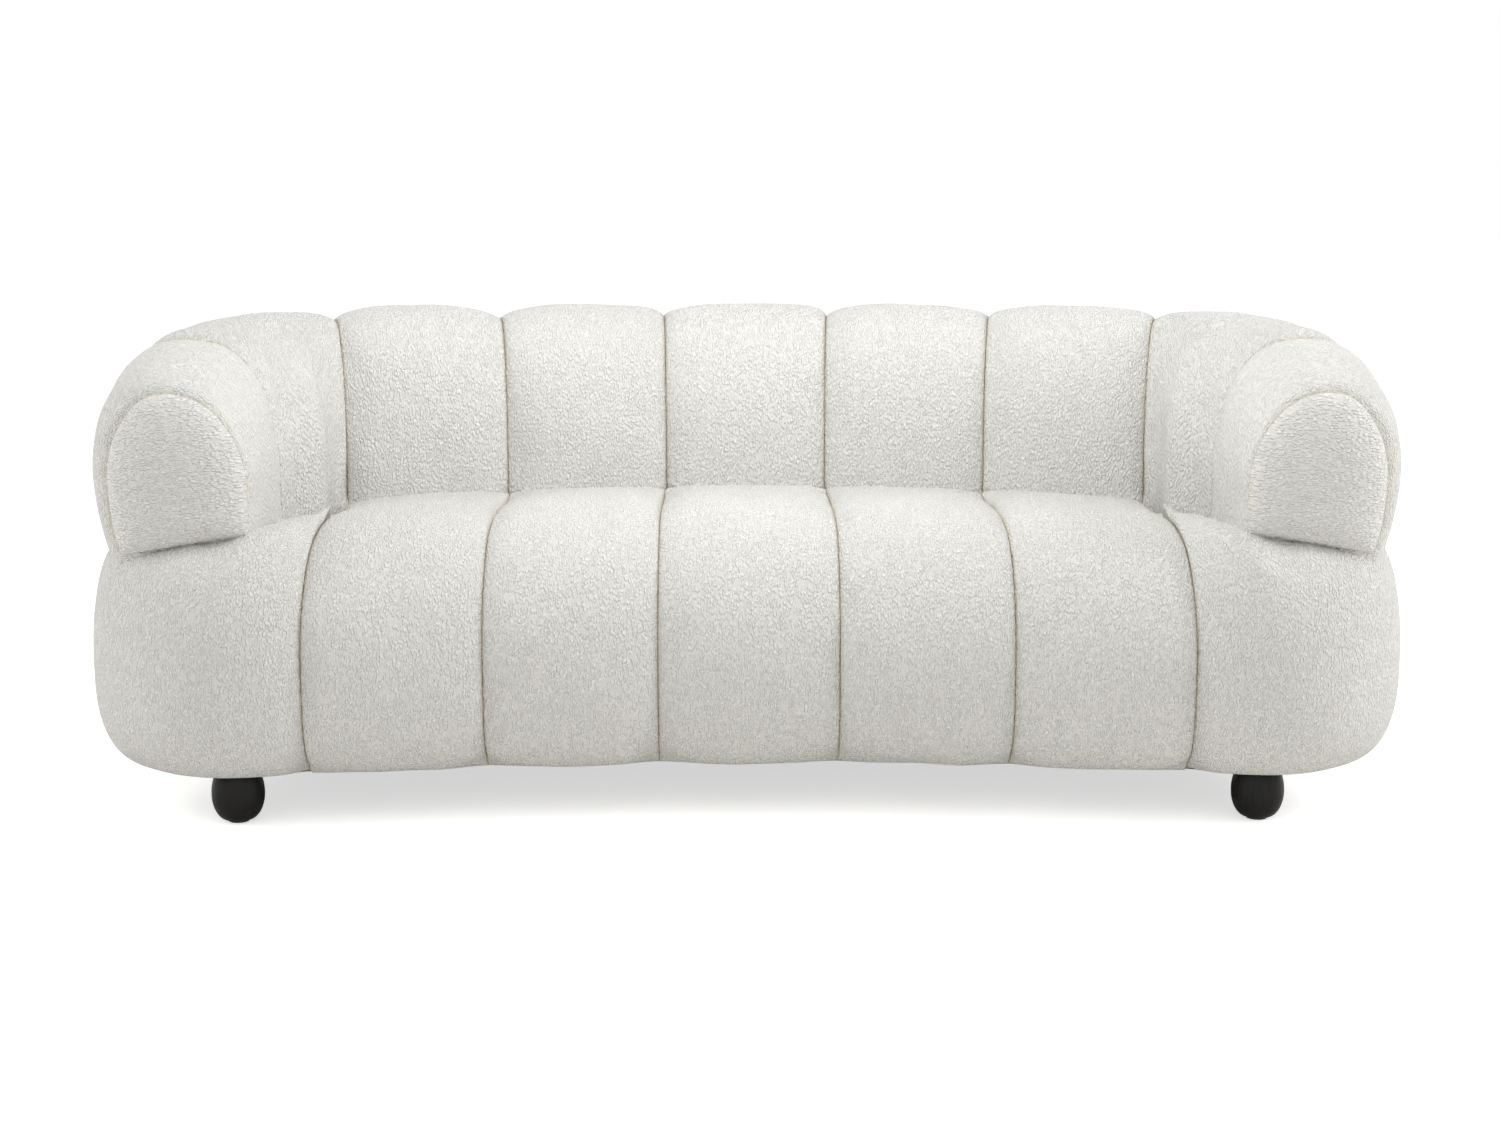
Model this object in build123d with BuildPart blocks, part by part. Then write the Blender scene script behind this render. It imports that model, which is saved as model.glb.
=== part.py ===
"""Curved sofa with channelled upholstery on four ball feet.

Millimetres. +X runs to the right as seen from the front, +Y to the rear and +Z up. The origin is on the floor
under the middle of the sofa's box. The right half is modelled and mirrored where both sides are alike.
"""
import os
from math import asin, cos, pi, sin, sqrt

from build123d import *

os.makedirs("parts", exist_ok=True)

# Overall sizes
overall_width = 2070
overall_depth = 940
overall_height = 766
body_bottom = 78
belly_height = 240
belly_flat = 12

# Plan of the roll (back, corners and arms), measured from its centre line
back_bow_radius = 2600
corner_radius = 270
back_inner = 125
back_outer = 143
arm_inner = 138
arm_outer = 122
corner_swell = 40
back_panels = 5
fold_y = -80
cap_seam_y = -365
arm_front_y = -402

# Side view of the roll
roll_foot = 400
inner_straight = 130
outer_straight = 110
roll_foot_draw = 24
foot_draw_at_middle = 0.25
corner_crest_drop = 8
arm_crest_drop = 40
arm_crest_ease = 1.5
arm_foot = 330
arm_front_draw = 92

# Plan and side view of the seat and the base
seat_seams = (142, 413, 686)
front_bow_radius = 3500
end_shoulder_x = 800
end_corner_depth = 220
seat_height = 475
seat_rear_height = 455
seat_tuck = 30
end_height = 448
lower_run = 105
seat_nose_run = 270
end_nose_run = 130
side_run = 46
side_lower_run = 130
base_nose_run = 46
base_corner_reach = 232
base_corner_inner_height = 438

# Cloth and seams
cover_thickness = 5
seam_depth = 22
seam_gap = 0.3
overrun = 4
end_rounding = 16
end_rounding_bulge = 0.29

# Wooden frame
rail_thickness = 25
rail_bottom = 84
rail_height = 206
rail_setback = 92
rail_corner_radius = 80
slot_half = 32
upper_rail_height = 30
upper_rail_width = 44
upper_rail_top = 672
post_width = 45
post_depth = 40
arm_post_front_y = -300
arm_rail_front_y = -326
back_board_thickness = 4
cross_rail_height = 110
clearance = 0.3

# Seat springs
springs_per_channel = 2
spring_spacing = 110
wire_radius = 2
spring_pitch = 26
spring_half_width = 14
clip_length = 22
clip_depth = 14
clip_height = 7
insulator_thickness = 6

# Feet
front_foot_x = 804
rear_foot_x = 610
foot_radius = 41.5
foot_belly_height = 45
foot_top_radius = 33
foot_floor_radius = 17
foot_setback = 37
foot_block_size = 100
foot_block_height = 50
stud_radius = 4
stud_depth = 42
stud_rise = 36
insert_radius = 5.6
insert_length = 14
insert_flange_radius = 8.5
insert_flange_thickness = 1.6
glide_radius = 16
glide_thickness = 3
dust_cover_thickness = 1.5
thread_clearance = 0.1

# Derived places
half_width = overall_width / 2
front_y = -overall_depth / 2
rear_y = overall_depth / 2
bow_centre_y = rear_y - back_outer - back_bow_radius
arm_x = half_width - arm_outer
corner_x = arm_x - corner_radius
corner_y = bow_centre_y + sqrt((back_bow_radius - corner_radius) ** 2 - corner_x**2)
corner_angle = asin(corner_x / (back_bow_radius - corner_radius))
back_half = back_bow_radius * corner_angle
corner_end = back_half + corner_radius * (pi / 2 - corner_angle)
front_bow_centre_y = front_y - sqrt(front_bow_radius**2 - end_shoulder_x**2)
rail_top = rail_bottom + rail_height
wire_height = rail_top + clip_height / 2
insulator_bottom = wire_height + wire_radius + clearance
deck_height = insulator_bottom + insulator_thickness + clearance
panel_length = 2 * back_half / back_panels

# Stations along a channel: place from one seam (-1) to the other (1), and the share of the seam's depth there
channel_stations = ((-1, 1), (-0.88, 0.36), (-0.62, 0.07), (0, 0), (0.62, 0.07), (0.88, 0.36), (1, 1))

# Stations of an arm from its fold (0) to its front (1): the share of the seam's depth,
# and the share by which the front is drawn in
arm_stations = (
    (0, 1, 0),
    (0.05, 0.36, 0),
    (0.16, 0.07, 0),
    (0.45, 0, 0),
    (0.68, 0, 0.03),
    (0.80, 0, 0.13),
    (0.885, 0, 0.33),
    (0.945, 0, 0.6),
    (1, 0, 1),
)

# Stations of a seat end from its seam (0) to its side (1), and the share of the seam's depth
end_stations = (
    (0, 1),
    (0.04, 0.36),
    (0.12, 0.07),
    (0.33, 0),
    (0.55, 0),
    (0.72, 0),
    (0.86, 0),
    (0.93, 0),
    (0.97, 0),
    (0.99, 0),
    (1, 0),
)


def along_roll(y):
    """Length along the roll's centre line at which an arm reaches the depth y."""
    return corner_end + corner_y - y


def roll_frame(s):
    """Point on the roll's centre line at the length s from its middle, and its outward direction."""
    if abs(s) <= back_half:
        angle = s / back_bow_radius
        centre, radius = (0, bow_centre_y), back_bow_radius
    elif s <= corner_end:
        angle = corner_angle + (s - back_half) / corner_radius
        centre, radius = (corner_x, corner_y), corner_radius
    else:
        angle = pi / 2
        centre, radius = (corner_x, corner_y - (s - corner_end)), corner_radius
    outward = Vector(sin(angle), cos(angle), 0)
    return Vector(centre[0], centre[1], 0) + outward * radius, outward


def roll_plane(s):
    """Upright plane across the roll, with its X axis pointing outward."""
    point, outward = roll_frame(s)
    return Plane(origin=point, x_dir=outward, z_dir=(outward.Y, -outward.X, 0))


def base_plane(s):
    """Upright plane across the base below the roll, with its X axis pointing inward."""
    point, outward = roll_frame(s)
    return Plane(origin=point, x_dir=-outward, z_dir=(-outward.Y, outward.X, 0))


def side_plane(x):
    """Upright plane across the seat, with its X axis pointing to the rear."""
    return Plane(origin=(x, 0, 0), x_dir=(0, 1, 0), z_dir=(1, 0, 0))


def front_line(x):
    """Depth of the most forward line of the seat at x."""
    x = abs(x)
    if x <= end_shoulder_x:
        return front_bow_centre_y + sqrt(front_bow_radius**2 - x**2)
    share = (x - end_shoulder_x) / (half_width - end_shoulder_x)
    return front_y + end_corner_depth * round_off(share)


def round_off(share):
    """Fall of a quarter circle, from 0 at its crown to 1 at its end."""
    share = min(max(share, 0), 1)
    return 1 - sqrt(1 - share**2)


def blend(start, end, share):
    """Value between start and end, eased at both ends."""
    share = min(max(share, 0), 1)
    return start + (end - start) * share**2 * (3 - 2 * share)


def roll_outline(inner, outer, foot, crest):
    """Arch across the roll: flat inner side, rounded crest, outer side drawn in at its foot."""
    inner_spring = roll_foot + inner_straight
    outer_spring = roll_foot + outer_straight
    foot_point = (outer - roll_foot_draw, foot)
    Line(foot_point, (-inner, foot))
    Line((-inner, foot), (-inner, inner_spring))
    EllipticalCenterArc((0, inner_spring), inner, crest - inner_spring, 180, arc_size=-90)
    EllipticalCenterArc((0, outer_spring), outer, crest - outer_spring, 90, arc_size=-90)
    middle = (outer - roll_foot_draw * foot_draw_at_middle, (outer_spring + foot) / 2)
    ThreePointArc((outer, outer_spring), middle, foot_point)


def block_outline(front, rear, bottom, top, rear_top, lower, nose):
    """Outline across the seat or the base: rounded under and over its belly, flat behind."""
    belly_low = belly_height - belly_flat / 2
    belly_high = belly_height + belly_flat / 2
    Line((rear, bottom), (front + lower, bottom))
    EllipticalCenterArc((front + lower, belly_low), lower, belly_low - bottom, 270, arc_size=-90)
    Line((front, belly_low), (front, belly_high))
    EllipticalCenterArc((front + nose, belly_high), nose, top - belly_high, 180, arc_size=-90)
    Line((front + nose, top), (rear - end_rounding, rear_top))
    bulge = end_rounding * end_rounding_bulge
    ThreePointArc(
        (rear - end_rounding, rear_top), (rear - bulge, rear_top - bulge), (rear, rear_top - end_rounding)
    )
    Line((rear, rear_top - end_rounding), (rear, bottom))


def lofted(planes, outlines):
    """Solid through one outline on each plane."""
    with BuildPart() as body:
        for plane, (draw, values) in zip(planes, outlines):
            with BuildSketch(plane):
                with BuildLine():
                    draw(*values)
                make_face()
        loft()
    return body.part


def stretched(places, start, end):
    """Places along a channel with the first and last one moved."""
    return [start, *places[1:-1], end]


def channel(start, end):
    """Places along a channel and the depth by which its seams draw it in there."""
    start, end = start + seam_gap / 2, end - seam_gap / 2
    places = [start + (end - start) * (1 + t) / 2 for t, share in channel_stations]
    return places, [seam_depth * share for t, share in channel_stations]


def roll_sizes(s):
    """Inner and outer half thickness, and crest height, of the roll at the length s."""
    s = abs(s)
    turn = min(max((s - back_half) / (along_roll(fold_y) - back_half), 0), 1)
    arm = min(max((s - along_roll(fold_y)) / (fold_y - cap_seam_y), 0), 1)
    inner = blend(back_inner, arm_inner, turn) + corner_swell * sin(pi * turn) ** 2
    outer = blend(back_outer, arm_outer, turn)
    arm_fall = (arm_crest_drop - corner_crest_drop) * arm**arm_crest_ease
    crest = overall_height - corner_crest_drop * turn - arm_fall
    return inner, outer, crest


def roll_body(places, depths, foot, skin=0):
    """Roll section through the given places, pulled in by the seams and by the thickness of the cover."""
    outlines = []
    for s, depth in zip(places, depths):
        inner, outer, crest = roll_sizes(s)
        pull = depth + skin
        outlines.append((roll_outline, (inner - pull, outer - pull, foot, crest - pull)))
    return lofted([roll_plane(s) for s in places], outlines)


def seat_body(places, depths, tuck, skin=0):
    """Seat channel through the given places, reaching under the back by the tuck."""
    outlines = []
    for x, depth in zip(places, depths):
        pull = depth + skin
        back_face = bow_centre_y + sqrt((back_bow_radius - back_inner) ** 2 - x**2)
        sizes = (
            front_line(x) + pull,
            back_face + tuck,
            body_bottom + skin,
            seat_height - pull,
            seat_rear_height - pull,
            lower_run,
            seat_nose_run,
        )
        outlines.append((block_outline, sizes))
    return lofted([side_plane(x) for x in places], outlines)


def end_body(places, depths, rear, skin=0):
    """Rounded end of the seat, in front of the side seam and under the arm."""
    outlines = []
    for x, depth in zip(places, depths):
        pull = depth + skin
        side = half_width - skin
        front = front_line(x) + pull
        bottom_share = (x - side + side_lower_run) / side_lower_run
        top_share = (x - side + side_run) / side_run
        bottom = body_bottom + skin
        bottom += (belly_height - belly_flat - bottom) * round_off(bottom_share)
        top = end_height - pull
        top -= (top - belly_height - belly_flat) * round_off(top_share)
        nose = blend(seat_nose_run, end_nose_run, (x - seat_seams[-1]) / (end_shoulder_x - seat_seams[-1]))
        outlines.append((block_outline, (front, rear, bottom, top, top, lower_run, nose)))
    return lofted([side_plane(x) for x in places], outlines)


def base_body(places, depths, reach, top, inner_top, skin=0):
    """Base channel below the roll, with its rounded side outward."""
    outlines = []
    for s, depth in zip(places, depths):
        pull = depth + skin
        outer = roll_sizes(s)[1]
        sizes = (-outer + pull, reach, body_bottom + skin, top, inner_top, lower_run, base_nose_run)
        outlines.append((block_outline, sizes))
    return lofted([base_plane(s) for s in places], outlines)


def minus(body, *cutters):
    """Body with the cutters taken away."""
    with BuildPart() as result:
        add(body)
        for cutter in cutters:
            add(cutter, mode=Mode.SUBTRACT)
    return result.part


def common(body, other):
    """What two bodies share."""
    with BuildPart() as result:
        add(body)
        add(other, mode=Mode.INTERSECT)
    return result.part


def joined(*bodies):
    """Bodies fused into one."""
    with BuildPart() as result:
        for body in bodies:
            add(body)
    return result.part


def mirrored(body):
    """The same body on the left side."""
    return mirror(body, about=Plane.YZ)


def write(body, name):
    """Label a finished piece and write it as its own file."""
    body.label = name
    export_step(body, f"parts/{name}.step")


def write_pair(body, name):
    """Write a right-hand piece and its mirror image."""
    write(body, f"{name}_right")
    write(mirrored(body), f"{name}_left")


def write_both(body, name):
    """Write the pieces of the right-hand side and their mirror images as one group."""
    write(joined(body, mirrored(body)), name)


def frame_outline(grow):
    """Plan of the base frame's outer face, moved outward by grow."""
    radius = corner_radius + rail_thickness / 2 + grow
    bow = back_bow_radius + rail_thickness / 2 + grow
    side = corner_x + radius
    front_radius = front_bow_radius + rail_setback - grow
    front_end = front_bow_centre_y + sqrt(front_radius**2 - side**2)
    turn = (pi / 2 - corner_angle) / 2
    corner_middle = (corner_x + radius * cos(turn), corner_y + radius * sin(turn))
    corner_start = (bow * sin(corner_angle), bow_centre_y + bow * cos(corner_angle))
    with BuildSketch() as plan:
        with BuildLine():
            ThreePointArc((-side, front_end), (0, front_bow_centre_y + front_radius), (side, front_end))
            Line((side, front_end), (side, corner_y))
            ThreePointArc((side, corner_y), corner_middle, corner_start)
            ThreePointArc(corner_start, (0, bow_centre_y + bow), (-corner_start[0], corner_start[1]))
            ThreePointArc(
                (-corner_start[0], corner_start[1]), (-corner_middle[0], corner_middle[1]), (-side, corner_y)
            )
            Line((-side, corner_y), (-side, front_end))
        make_face()
        fillet(plan.vertices().group_by(Axis.Y)[0], rail_corner_radius + grow)
    return plan.sketch


def prism(outline, bottom, top):
    """Upright body over a plan outline."""
    with BuildPart() as body:
        with BuildSketch(Plane.XY.offset(bottom)):
            add(outline)
        extrude(amount=top - bottom)
    return body.part


def box_between(low, high):
    """Box from its lowest to its highest corner."""
    size = [b - a for a, b in zip(low, high)]
    middle = tuple((a + b) / 2 for a, b in zip(low, high))
    with BuildPart() as body:
        with Locations(middle):
            Box(*size)
    return body.part


def roll_band(width, start, end):
    """Plan band along the roll's centre line between two lengths."""
    with BuildSketch() as band:
        with BuildLine():
            stops = [start, *[s for s in (-back_half, back_half, corner_end) if start < s < end], end]
            for a, b in zip(stops, stops[1:]):
                points = [roll_frame(s)[0] for s in (a, (a + b) / 2, b)]
                if a >= corner_end:
                    Line(points[0], points[2])
                else:
                    ThreePointArc(*points)
        trace(line_width=width)
    return band.sketch


# Cavities that the frame takes up inside the upholstery
core = prism(frame_outline(clearance), 0, deck_height)
slot_width = 2 * (slot_half + clearance)
arm_slot_end = along_roll(arm_rail_front_y) + clearance
right_slot = prism(roll_band(slot_width, 0, arm_slot_end), rail_top, upper_rail_top + clearance)
slot = joined(right_slot, mirrored(right_slot))


def upholstered(outer, inner, *cutters):
    """Cover and filling of one upholstered body, cut clear of the given bodies."""
    return minus(outer, inner, *cutters), minus(common(inner, outer), *cutters)


def post_body(s, grow=0):
    """Upright post on the base frame at the length s along the roll."""
    point, outward = roll_frame(s)
    with BuildPart() as post:
        with BuildSketch(Plane(origin=(point.X, point.Y, rail_top), x_dir=(outward.Y, -outward.X, 0))):
            Rectangle(post_width + 2 * grow, post_depth + 2 * grow)
        extrude(amount=upper_rail_bottom - rail_top)
    return post.part


# Posts of the back and the arms
upper_rail_bottom = upper_rail_top - upper_rail_height
back_post_places = [panel_length * (0.5 + i) for i in range(back_panels // 2)]
back_post_places.append(back_half - post_width)
arm_post_places = [corner_end, along_roll(arm_post_front_y)]
post_places = back_post_places + arm_post_places
right_post_holes = joined(*[post_body(s, clearance) for s in post_places])
post_holes = joined(right_post_holes, mirrored(right_post_holes))

# Rear base channels, back channels and seat channels, from the middle one to the right
base_reach = back_inner - seat_tuck - clearance
base_top = roll_foot - seam_gap
right_panels = range(back_panels // 2 + 1)
back_bodies = []
back_fillings = []
rear_fillings = []
for i in right_panels:
    places, depths = channel(panel_length * (i - 0.5), panel_length * (i + 0.5))
    longer = stretched(places, places[0] - overrun, places[-1] + overrun)
    number = back_panels // 2 + 1 + i
    twin = back_panels // 2 + 1 - i

    outer = roll_body(places, depths, roll_foot)
    inner = roll_body(longer, depths, roll_foot - overrun, cover_thickness)
    back_bodies.append(outer)
    cover, filling = upholstered(outer, inner, slot)
    back_fillings.append(filling)
    write(cover, f"back_cover_{number}")

    rear_outer = base_body(places, depths, base_reach, base_top, base_top)
    rear_inner = base_body(
        longer, depths, base_reach + overrun, base_top + overrun, base_top + overrun, cover_thickness
    )
    rear_cover, rear_filling = upholstered(rear_outer, rear_inner, core, post_holes)
    rear_fillings.append(rear_filling)
    write(rear_cover, f"base_rear_cover_{number}")
    if twin != number:
        write(mirrored(cover), f"back_cover_{twin}")
        write(mirrored(rear_cover), f"base_rear_cover_{twin}")

# Corner of the base and of the roll
corner_places, corner_depths = channel(back_half, along_roll(fold_y))
corner_longer = stretched(corner_places, corner_places[0] - overrun, corner_places[-1] + overrun)
seat_side = box_between(
    (-half_width, front_y, 0), (seat_seams[-1] + seam_gap / 2, rear_y, overall_height)
)
base_corner_outer = base_body(
    corner_places, corner_depths, base_corner_reach, base_top, base_corner_inner_height
)
base_corner_inner = base_body(
    corner_longer,
    corner_depths,
    base_corner_reach + overrun,
    base_top - cover_thickness,
    base_corner_inner_height - cover_thickness,
    cover_thickness,
)
base_corner_cover, base_corner_foam = upholstered(
    base_corner_outer, base_corner_inner, core, post_holes, seat_side
)
write_pair(base_corner_cover, "base_corner_cover")
write_pair(base_corner_foam, "base_corner_foam")

corner_outer = roll_body(corner_places, corner_depths, arm_foot)
corner_inner = roll_body(corner_longer, corner_depths, arm_foot - overrun, cover_thickness)
corner_cover, corner_foam = upholstered(corner_outer, corner_inner, slot, base_corner_outer)
write_pair(corner_cover, "corner_cover")
write_pair(corner_foam, "corner_foam")

# Rounded ends of the seat
end_start = seat_seams[-1] + seam_gap / 2
end_places = [end_start + (half_width - end_start) * share for share, depth in end_stations]
end_depths = [seam_depth * depth for share, depth in end_stations]
end_inner_side = half_width - cover_thickness
end_inner_places = [end_start + (end_inner_side - end_start) * share for share, depth in end_stations]
end_outer = end_body(end_places, end_depths, fold_y - seam_gap / 2)
end_inner = end_body(
    stretched(end_inner_places, end_start - overrun, end_inner_side),
    end_depths,
    fold_y + overrun,
    cover_thickness,
)
end_cover, end_foam = upholstered(end_outer, end_inner, core, post_holes)
write_pair(end_cover, "seat_end_cover")
write_pair(end_foam, "seat_end_foam")

# Arms with their caps
arm_length = fold_y - arm_front_y
arm_places = [along_roll(fold_y - seam_gap / 2 - arm_length * share) for share, seam, front in arm_stations]
arm_depths = [seam_depth * seam + arm_front_draw * front for share, seam, front in arm_stations]
arm_outer_body = roll_body(arm_places, arm_depths, arm_foot)
arm_inner_body = roll_body(
    stretched(arm_places, arm_places[0] - overrun, arm_places[-1] - cover_thickness),
    arm_depths,
    arm_foot - overrun,
    cover_thickness,
)
arm_cover, arm_foam = upholstered(arm_outer_body, arm_inner_body, slot, end_outer, base_corner_outer)
before_cap = box_between((0, 2 * front_y, 0), (overall_width, cap_seam_y + seam_gap / 2, overall_height))
behind_cap = box_between((0, cap_seam_y - seam_gap / 2, 0), (overall_width, rear_y, overall_height))
write_pair(minus(arm_cover, before_cap), "arm_cover")
write_pair(minus(arm_cover, behind_cap), "arm_cap")
write_pair(arm_foam, "arm_foam")

# Seat channels
edges = (-seat_seams[0], *seat_seams)
seat_fillings = []
for i, (start, end) in enumerate(zip(edges, edges[1:])):
    places, depths = channel(start, end)
    longer = stretched(places, places[0] - overrun, places[-1] + overrun)
    outer = seat_body(places, depths, seat_tuck)
    inner = seat_body(longer, depths, seat_tuck + overrun, cover_thickness)
    behind = [body for j, body in enumerate(back_bodies) if abs(i - j) <= 1]
    if i == 0:
        behind.append(mirrored(back_bodies[1]))
    cover, filling = upholstered(outer, inner, core, corner_outer, *behind)
    seat_fillings.append(filling)
    middle = len(seat_seams)
    write(cover, f"seat_cover_{middle + i}")
    if i:
        write(mirrored(cover), f"seat_cover_{middle - i}")


def whole_filling(fillings):
    """One-piece filling of a row of channels, from its middle and right-hand lengths."""
    return joined(*fillings, *[mirrored(filling) for filling in fillings[1:]])


write(whole_filling(back_fillings), "back_foam")
write(whole_filling(rear_fillings), "base_rear_foam")
write(whole_filling(seat_fillings), "seat_foam")


def frame_front(x):
    """Depth of the base frame's front face at x."""
    return front_bow_centre_y + sqrt((front_bow_radius + rail_setback) ** 2 - x**2)


def frame_rear(x):
    """Depth of the base frame's rear face at x, within the bow of the back."""
    return bow_centre_y + sqrt((back_bow_radius + rail_thickness / 2) ** 2 - x**2)


# Base frame: a ring of rails, cut where two rails meet
ring = minus(
    prism(frame_outline(0), rail_bottom, rail_top),
    prism(frame_outline(-rail_thickness), rail_bottom, rail_top),
)
front_joint_x = front_foot_x - foot_block_size / 2
back_joint_x = back_bow_radius * sin(corner_angle)
beyond = overall_width
front_rail_space = box_between((-front_joint_x, -beyond, 0), (front_joint_x, fold_y, beyond))
back_rail_space = box_between((-back_joint_x, fold_y, 0), (back_joint_x, beyond, beyond))
end_rail_space = box_between((front_joint_x, -beyond, 0), (beyond, corner_y, beyond))
corner_rail_space = box_between((back_joint_x, corner_y, 0), (beyond, beyond, beyond))
write(common(ring, front_rail_space), "front_rail")
write(common(ring, back_rail_space), "back_rail")
write_both(common(ring, end_rail_space), "end_rails")
write_both(common(ring, corner_rail_space), "corner_rails")

cross_rails = []
for x in seat_seams[:-1]:
    low = (x - rail_thickness / 2, frame_front(x) + rail_thickness / 2, rail_bottom)
    high = (x + rail_thickness / 2, frame_rear(x) - rail_thickness / 2, rail_bottom + cross_rail_height)
    cross_rails.append(minus(box_between(low, high), ring))
write_both(joined(*cross_rails), "cross_rails")

# Upper frame: posts, rails along the top and the board behind the back's filling
write_both(joined(*[post_body(s) for s in back_post_places]), "back_posts")
write_both(joined(*[post_body(s) for s in arm_post_places]), "arm_posts")


def top_rail(start, end):
    """Rail on top of the posts between two lengths along the roll."""
    return prism(roll_band(upper_rail_width, start, end), upper_rail_bottom, upper_rail_top)


write(top_rail(-back_half, back_half), "back_top_rail")
write_both(top_rail(back_half, corner_end), "corner_top_rails")
write_both(top_rail(corner_end, along_roll(arm_rail_front_y)), "arm_top_rails")

board_outer = back_bow_radius - post_depth / 2 - clearance
board_inner = board_outer - back_board_thickness
board_angle = back_post_places[-1] / back_bow_radius
with BuildPart() as back_board:
    with BuildSketch(Plane.XY.offset(roll_foot)):
        with BuildLine():
            ends = [
                [(r * sin(a), bow_centre_y + r * cos(a)) for a in (-board_angle, 0, board_angle)]
                for r in (board_inner, board_outer)
            ]
            ThreePointArc(*ends[0])
            ThreePointArc(*ends[1])
            Line(ends[0][0], ends[1][0])
            Line(ends[0][2], ends[1][2])
        make_face()
    extrude(amount=upper_rail_bottom - roll_foot)
write(back_board.part, "back_board")

# Seat springs of bent wire, from the front rail to the back rail
spring_places = []
for i, (start, end) in enumerate(zip(edges, edges[1:])):
    first_place = (start + end - spring_spacing * (springs_per_channel - 1)) / 2
    row = [first_place + spring_spacing * j for j in range(springs_per_channel)]
    spring_places += row
    if i:
        spring_places += [-x for x in row]


def spring_ends(x):
    """Depths of a spring's first and last bar."""
    return frame_front(x) + rail_thickness / 2, frame_rear(x) - rail_thickness / 2


with BuildPart() as seat_springs:
    for x in spring_places:
        first, last = spring_ends(x)
        turns = round((last - first) / spring_pitch)
        radius = (last - first) / turns / 2
        with BuildLine() as wire:
            side = spring_half_width
            for i in range(turns):
                y = first + 2 * radius * i
                Line((x - side, y, wire_height), (x + side, y, wire_height))
                outside = radius if side > 0 else -radius
                ThreePointArc(
                    (x + side, y, wire_height),
                    (x + side + outside, y + radius, wire_height),
                    (x + side, y + 2 * radius, wire_height),
                )
                side = -side
            Line((x - side, last, wire_height), (x + side, last, wire_height))
        with BuildSketch(Plane(origin=wire.line @ 0, z_dir=wire.line % 0)):
            Circle(wire_radius)
        sweep(path=wire.line)
write(seat_springs.part, "seat_springs")

with BuildPart() as spring_clips:
    for x in spring_places:
        for y in spring_ends(x):
            clip_start = (x - clip_length / 2, y, wire_height)
            with BuildSketch(Plane(origin=clip_start, z_dir=(1, 0, 0), x_dir=(0, 1, 0))):
                Rectangle(clip_depth, clip_height)
                Circle(wire_radius + thread_clearance, mode=Mode.SUBTRACT)
            extrude(amount=clip_length)
write(spring_clips.part, "spring_clips")

insulator_inset = rail_thickness / 2 + post_depth / 2 + clearance
write(
    prism(frame_outline(-insulator_inset), insulator_bottom, insulator_bottom + insulator_thickness),
    "spring_insulator",
)

# Feet with their studs, threaded inserts and glides
foot_top = rail_bottom - dust_cover_thickness
front_foot_y = frame_front(front_foot_x) + foot_setback
rear_foot_y = frame_rear(rear_foot_x) - foot_setback
foot_places = {
    "front_left": (-front_foot_x, front_foot_y),
    "front_right": (front_foot_x, front_foot_y),
    "rear_left": (-rear_foot_x, rear_foot_y),
    "rear_right": (rear_foot_x, rear_foot_y),
}


def foot_body(x, y):
    """Turned ball foot with a blind hole for its stud."""
    with BuildPart() as foot:
        with BuildSketch(Plane(origin=(x, y, 0), x_dir=(1, 0, 0), z_dir=(0, -1, 0))):
            with BuildLine():
                low = (foot_floor_radius, glide_thickness)
                belly = (foot_radius, foot_belly_height)
                high = (foot_top_radius, foot_top)
                Line((0, glide_thickness), low)
                EllipticalCenterArc(
                    (foot_floor_radius, foot_belly_height),
                    foot_radius - foot_floor_radius,
                    foot_belly_height - glide_thickness,
                    270,
                    arc_size=90,
                )
                TangentArc(belly, high, tangent=(0, 1))
                Line(high, (0, foot_top))
                Line((0, foot_top), (0, glide_thickness))
            make_face()
        revolve(axis=Axis((x, y, 0), (0, 0, 1)))
        with BuildSketch(Plane.XY.offset(foot_top)):
            with Locations((x, y)):
                Circle(stud_radius + thread_clearance)
        extrude(amount=-stud_depth, mode=Mode.SUBTRACT)
    return foot.part


for name, (x, y) in foot_places.items():
    write(foot_body(x, y), f"foot_{name}")


def discs(radius, bottom, top, bore=0):
    """One disc or ring at each foot."""
    with BuildPart() as group:
        with BuildSketch(Plane.XY.offset(bottom)):
            with Locations(*foot_places.values()):
                Circle(radius)
                if bore:
                    Circle(bore, mode=Mode.SUBTRACT)
        extrude(amount=top - bottom)
    return group.part


stud_bore = stud_radius + thread_clearance
flange_top = rail_bottom + insert_flange_thickness
stud_holes = discs(stud_bore, 0, rail_top)
write(discs(glide_radius, 0, glide_thickness), "foot_glides")
write(discs(stud_radius, foot_top - stud_depth, rail_bottom + stud_rise), "foot_studs")
write(
    joined(
        discs(insert_flange_radius, rail_bottom, flange_top, stud_bore),
        discs(insert_radius, flange_top, rail_bottom + insert_length, stud_bore),
    ),
    "foot_inserts",
)
insert_holes = joined(
    discs(insert_flange_radius + thread_clearance, rail_bottom, flange_top + thread_clearance),
    discs(insert_radius + thread_clearance, rail_bottom, rail_top),
)

foot_blocks = []
for x, y in foot_places.values():
    toward_front = y < 0
    rail_middle = frame_front(x) + rail_thickness / 2 if toward_front else frame_rear(x) - rail_thickness / 2
    other = rail_middle + foot_block_size if toward_front else rail_middle - foot_block_size
    low = (x - foot_block_size / 2, min(rail_middle, other), rail_bottom)
    high = (x + foot_block_size / 2, max(rail_middle, other), rail_bottom + foot_block_height)
    foot_blocks.append(minus(box_between(low, high), ring, insert_holes))
write(joined(*foot_blocks), "foot_blocks")

write(minus(prism(frame_outline(0), foot_top, rail_bottom), stud_holes), "dust_cover")
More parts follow.
